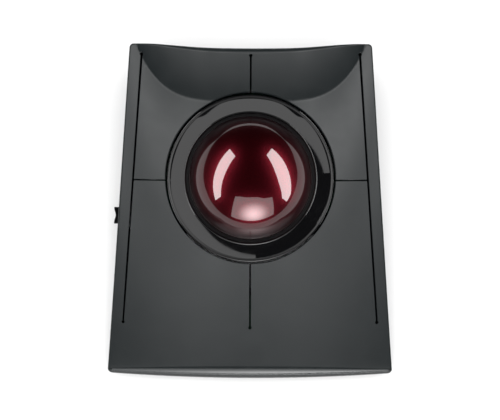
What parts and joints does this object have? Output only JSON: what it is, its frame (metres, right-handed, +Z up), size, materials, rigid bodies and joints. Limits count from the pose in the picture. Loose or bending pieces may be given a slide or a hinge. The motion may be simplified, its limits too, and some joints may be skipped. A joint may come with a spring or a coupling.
{
  "type": "trackball mouse",
  "caption": "Wireless desk trackball: a flat wedge case with a large red ball in a gloss ring, and four deck panels that click.",
  "frame": {"origin": "under the middle of the case's bounding box, on the desk surface that the feet rest on", "axes": "+Z up, +Y towards the rear of the case, away from the user, +X to the user's right"},
  "size_m": [0.1308, 0.1499, 0.0585],
  "materials": {
    "deck_plastic": "fine satin paint, dark grey",
    "gloss_black": "mirror gloss, black",
    "case_plastic": "fine spark texture, black",
    "ball_red": "polished, deep red",
    "bearing_ceramic": "polished",
    "lens_plastic": "clear, polished",
    "switch_plastic": "moulded",
    "plunger_plastic": "moulded",
    "board_green": "solder mask",
    "battery_foil": "laminate pouch",
    "foot_rubber": "matte",
    "steel": "zinc plated"
  },
  "bodies": {
    "case": {"lower_case": "case_plastic", "top_cover": "deck_plastic", "trim_ring": "gloss_black", "ball_cup": "case_plastic", "bearing_rear": "bearing_ceramic", "bearing_front_left": "bearing_ceramic", "bearing_front_right": "bearing_ceramic", "sensor_lens_left": "lens_plastic", "sensor_lens_right": "lens_plastic", "sensor_chip_left": "switch_plastic", "sensor_chip_right": "switch_plastic", "sensor_board_left": "board_green", "sensor_board_right": "board_green", "main_board": "board_green", "battery": "battery_foil", "switch_board_left": "board_green", "switch_board_right": "board_green", "switch_front_left": "switch_plastic", "switch_front_right": "switch_plastic", "switch_rear_left": "switch_plastic", "switch_rear_right": "switch_plastic", "board_post_left_1": "case_plastic", "board_post_left_2": "case_plastic", "board_post_right_1": "case_plastic", "board_post_right_2": "case_plastic", "usb_socket": "steel", "usb_tongue": "switch_plastic", "usb_board": "board_green", "mode_switch_body": "steel", "pairing_switch": "steel", "receiver_bay": "case_plastic", "weight_plate": "steel", "foot_front_left": "foot_rubber", "foot_front_right": "foot_rubber", "foot_rear_left": "foot_rubber", "foot_rear_right": "foot_rubber", "case_screw_1": "steel", "case_screw_2": "steel", "case_screw_3": "steel", "case_screw_4": "steel"},
    "ball": {"ball": "ball_red"},
    "button_front_left": {"button_front_left": "deck_plastic"},
    "plunger_front_left": {"plunger_front_left": "plunger_plastic"},
    "button_front_right": {"button_front_right": "deck_plastic"},
    "plunger_front_right": {"plunger_front_right": "plunger_plastic"},
    "button_rear_left": {"button_rear_left": "deck_plastic"},
    "plunger_rear_left": {"plunger_rear_left": "plunger_plastic"},
    "button_rear_right": {"button_rear_right": "deck_plastic"},
    "plunger_rear_right": {"plunger_rear_right": "plunger_plastic"},
    "mode_switch_knob": {"mode_switch_knob": "gloss_black"},
    "pairing_button": {"pairing_button": "plunger_plastic"},
    "receiver": {"receiver": "gloss_black"}
  },
  "joints": [
    {"name": "ball_roll", "type": "hinge", "parent": "case", "child": "ball", "pos_m": [0, 0.0147, 0.031], "axis": [1, 0, 0], "continuous": true},
    {"name": "button_front_left_press", "type": "hinge", "parent": "case", "child": "button_front_left", "pos_m": [-0.02905, -0.0487, 0.01188], "axis": [-1, 0, 0], "range_deg": [0, 0.9], "stiffness_Nm_per_rad": 1.5, "springref_deg": -0.57},
    {"name": "plunger_front_left_travel", "type": "slide", "parent": "case", "child": "plunger_front_left", "axis": [0, 0.1219, -0.9925], "range_m": [0, 0.0008]},
    {"name": "button_front_right_press", "type": "hinge", "parent": "case", "child": "button_front_right", "pos_m": [0.02905, -0.0487, 0.01188], "axis": [-1, 0, 0], "range_deg": [0, 0.9], "stiffness_Nm_per_rad": 1.5, "springref_deg": -0.57},
    {"name": "plunger_front_right_travel", "type": "slide", "parent": "case", "child": "plunger_front_right", "axis": [0, 0.1219, -0.9925], "range_m": [0, 0.0008]},
    {"name": "button_rear_left_press", "type": "hinge", "parent": "case", "child": "button_rear_left", "pos_m": [-0.02454, 0.0697, 0.03092], "axis": [1, 0, 0], "range_deg": [0, 1.05], "stiffness_Nm_per_rad": 1.5, "springref_deg": -0.57},
    {"name": "plunger_rear_left_travel", "type": "slide", "parent": "case", "child": "plunger_rear_left", "axis": [0, 0.1219, -0.9925], "range_m": [0, 0.0008]},
    {"name": "button_rear_right_press", "type": "hinge", "parent": "case", "child": "button_rear_right", "pos_m": [0.02454, 0.0697, 0.03092], "axis": [1, 0, 0], "range_deg": [0, 1.05], "stiffness_Nm_per_rad": 1.5, "springref_deg": -0.57},
    {"name": "plunger_rear_right_travel", "type": "slide", "parent": "case", "child": "plunger_rear_right", "axis": [0, 0.1219, -0.9925], "range_m": [0, 0.0008]},
    {"name": "mode_switch_slide", "type": "slide", "parent": "case", "child": "mode_switch_knob", "axis": [0, 1, 0], "range_m": [-0.002, 0.002]},
    {"name": "pairing_button_press", "type": "slide", "parent": "case", "child": "pairing_button", "axis": [0, 0, 1], "range_m": [0, 0.0005], "stiffness_N_per_m": 400, "springref_m": -0.0005},
    {"name": "receiver_pull", "type": "slide", "parent": "case", "child": "receiver", "axis": [0, 0, -1], "range_m": [0, 0.012]}
  ],
  "couplings": [
    {"joint": "plunger_front_left_travel", "follows": "button_front_left_press", "m_per_rad": 0.0447},
    {"joint": "plunger_front_right_travel", "follows": "button_front_right_press", "m_per_rad": 0.0447},
    {"joint": "plunger_rear_left_travel", "follows": "button_rear_left_press", "m_per_rad": 0.0357},
    {"joint": "plunger_rear_right_travel", "follows": "button_rear_right_press", "m_per_rad": 0.0357}
  ]
}
